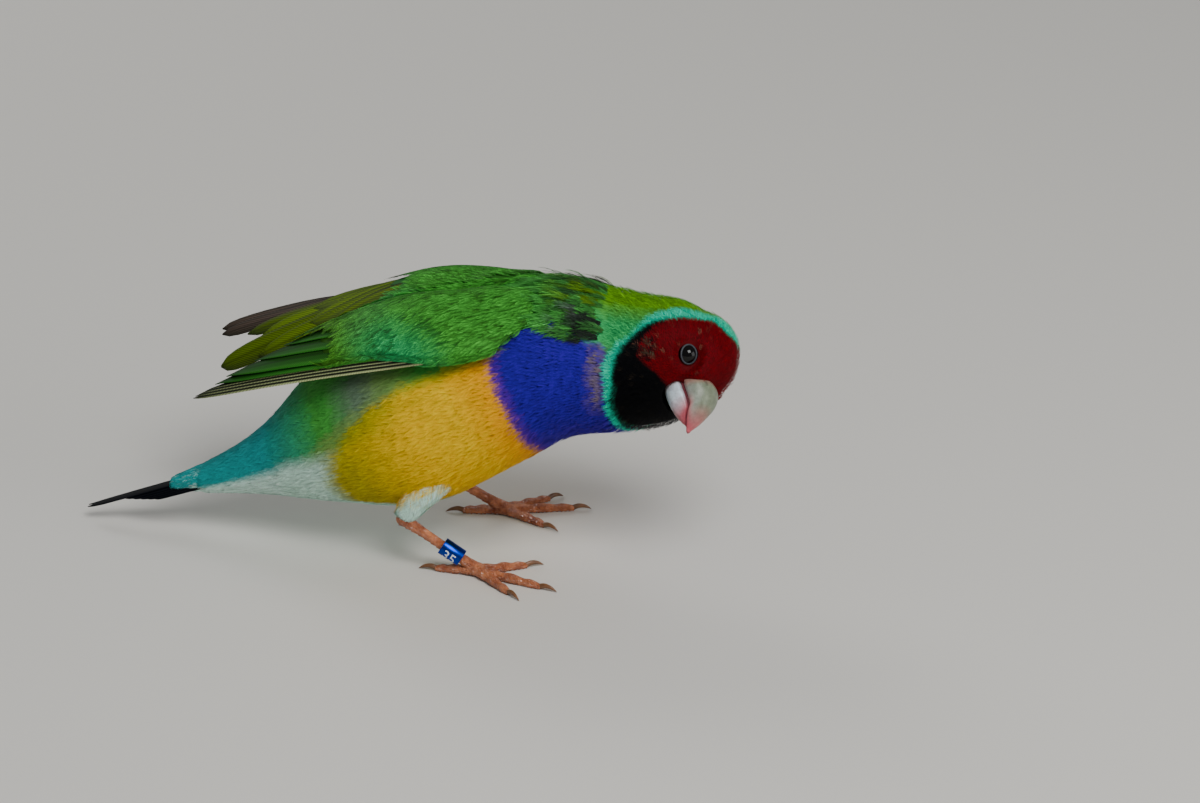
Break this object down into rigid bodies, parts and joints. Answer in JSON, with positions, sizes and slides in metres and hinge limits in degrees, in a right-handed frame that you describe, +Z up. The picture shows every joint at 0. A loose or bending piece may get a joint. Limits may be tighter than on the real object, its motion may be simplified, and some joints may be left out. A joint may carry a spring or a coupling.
{
  "type": "gouldian finch model",
  "caption": "Life-size gouldian finch, standing tipped forward with its neck stretched, head hanging and turned, wings folded and tail out behind.",
  "frame": {"origin": "middle of the model's box at floor level, between the tail's tip and the crown", "axes": "+X ahead of the bird, from tail to head; +Y to its left; +Z up from the floor that both feet stand on"},
  "size_m": [0.1352, 0.0508, 0.0621],
  "materials": {
    "back_feather": "matt green feather",
    "belly_feather": "matt yellow feather",
    "neck_feather": "matt purple and green feather",
    "face_feather": "matt red and black feather",
    "rump_feather": "matt turquoise feather",
    "tail_feather": "black feather with a low sheen",
    "thigh_feather": "soft white feather",
    "leg_skin": "scaled orange-pink skin",
    "claw": "horn",
    "bill": "ivory horn",
    "eye": "wet black",
    "ring": "blue anodised"
  },
  "bodies": {
    "root": {"head": "face_feather", "neck": "neck_feather", "torso": "belly_feather", "rump": "rump_feather", "tail": "tail_feather", "wing_left": "back_feather", "wing_right": "back_feather", "thigh_left": "thigh_feather", "thigh_right": "thigh_feather", "shank_left": "leg_skin", "shank_right": "leg_skin", "foot_left": "leg_skin", "foot_right": "leg_skin", "claw_left_hind": "claw", "claw_left_inner": "claw", "claw_left_middle": "claw", "claw_left_outer": "claw", "claw_right_hind": "claw", "claw_right_inner": "claw", "claw_right_middle": "claw", "claw_right_outer": "claw", "eye_left": "eye", "eye_right": "eye", "bill_upper": "bill", "bill_lower": "bill", "leg_ring": "ring"}
  },
  "joints": []
}
